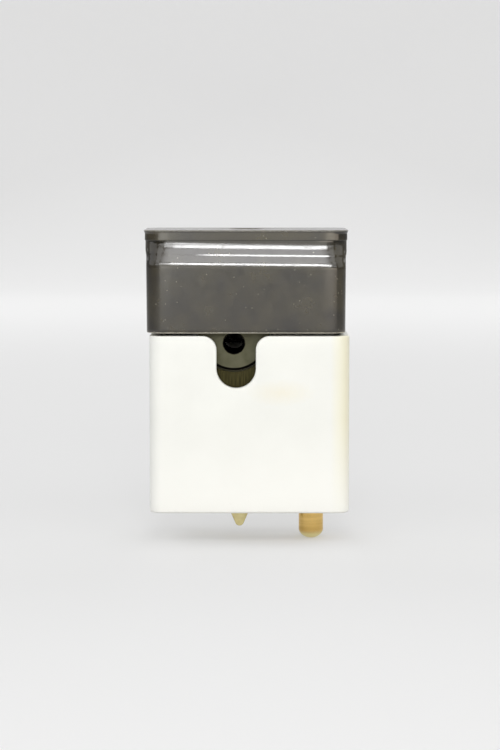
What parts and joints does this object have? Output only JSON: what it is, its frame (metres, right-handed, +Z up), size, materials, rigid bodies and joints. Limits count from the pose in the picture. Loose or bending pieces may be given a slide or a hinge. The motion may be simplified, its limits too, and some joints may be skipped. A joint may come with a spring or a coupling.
{
  "type": "rewireable fuse carrier",
  "caption": "Plug-in rewireable fuse carrier with a moulded shell, a ceramic fuse block, a captive screwed cap with a finger groove, a round contact pin and a contact blade.",
  "frame": {"origin": "centre of the shell's underside, where the carrier seats on its base", "axes": "+X to the right seen from the notched front, towards the contact pin; +Y to the back; +Z up, from the contacts to the cap"},
  "size_m": [0.0522, 0.0262, 0.08],
  "materials": {
    "shell_moulding": "moulded, semi-gloss",
    "cap_moulding": "moulded, polished, lightly scuffed",
    "ceramic": "unglazed, fine",
    "fibre": "vulcanised fibre, vertical grain",
    "brass_contact": "turned and drawn, lightly tarnished",
    "brass_small": "satin",
    "brass_screw": "turned, slotted",
    "spring_steel": "oiled black",
    "plated_steel": "zinc plated",
    "retainer_fibre": "red vulcanised fibre",
    "tinned_copper": "tinned, drawn"
  },
  "bodies": {
    "carrier": {"body_shell": "shell_moulding", "fuse_block": "ceramic", "arc_pad_front": "fibre", "arc_pad_rear": "fibre", "pad_rivets": "brass_small", "contact_pin": "brass_contact", "pin_retaining_ring": "spring_steel", "contact_blade": "brass_contact", "blade_strap": "brass_contact", "blade_rivet": "brass_small", "blade_terminal_nut": "brass_small", "cap_insert": "brass_small", "block_screw_left": "brass_screw", "block_insert_left": "brass_small", "block_screw_right": "brass_screw", "block_insert_right": "brass_small", "fuse_wire": "tinned_copper"},
    "cap": {"cap": "cap_moulding"},
    "cap_washer": {"cap_screw_washer": "plated_steel"},
    "cap_screw": {"cap_screw": "brass_screw", "cap_screw_retainer": "retainer_fibre"},
    "pin_clamp": {"pin_clamp_washer": "plated_steel"},
    "pin_screw": {"pin_terminal_screw": "brass_screw"},
    "blade_clamp": {"blade_clamp_washer": "plated_steel"},
    "blade_screw": {"blade_terminal_screw": "brass_screw"}
  },
  "joints": [
    {"name": "cap_lift", "type": "slide", "parent": "carrier", "child": "cap", "axis": [0, 0, 1], "range_m": [0, 0.03]},
    {"name": "cap_washer_rise", "type": "slide", "parent": "cap", "child": "cap_washer", "axis": [0, 0, 1], "range_m": [0, 0.00486]},
    {"name": "cap_screw_turn", "type": "hinge", "parent": "cap_washer", "child": "cap_screw", "pos_m": [-0.00085, 0, 0.0688], "axis": [0, 0, 1], "range_deg": [0, 2160]},
    {"name": "pin_clamp_rise", "type": "slide", "parent": "carrier", "child": "pin_clamp", "axis": [0, 0, 1], "range_m": [0, 0.00132]},
    {"name": "pin_screw_turn", "type": "hinge", "parent": "pin_clamp", "child": "pin_screw", "pos_m": [0.01594, 0, 0.0192], "axis": [0, 0, 1], "range_deg": [0, 720]},
    {"name": "blade_clamp_rise", "type": "slide", "parent": "carrier", "child": "blade_clamp", "axis": [0, 0, 1], "range_m": [0, 0.00132]},
    {"name": "blade_screw_turn", "type": "hinge", "parent": "blade_clamp", "child": "blade_screw", "pos_m": [-0.0178, 0, 0.0192], "axis": [0, 0, 1], "range_deg": [0, 720]}
  ],
  "couplings": [
    {"joint": "cap_screw_turn", "follows": "cap_washer_rise", "rad_per_m": 7757},
    {"joint": "pin_screw_turn", "follows": "pin_clamp_rise", "rad_per_m": 9520},
    {"joint": "blade_screw_turn", "follows": "blade_clamp_rise", "rad_per_m": 9520}
  ]
}
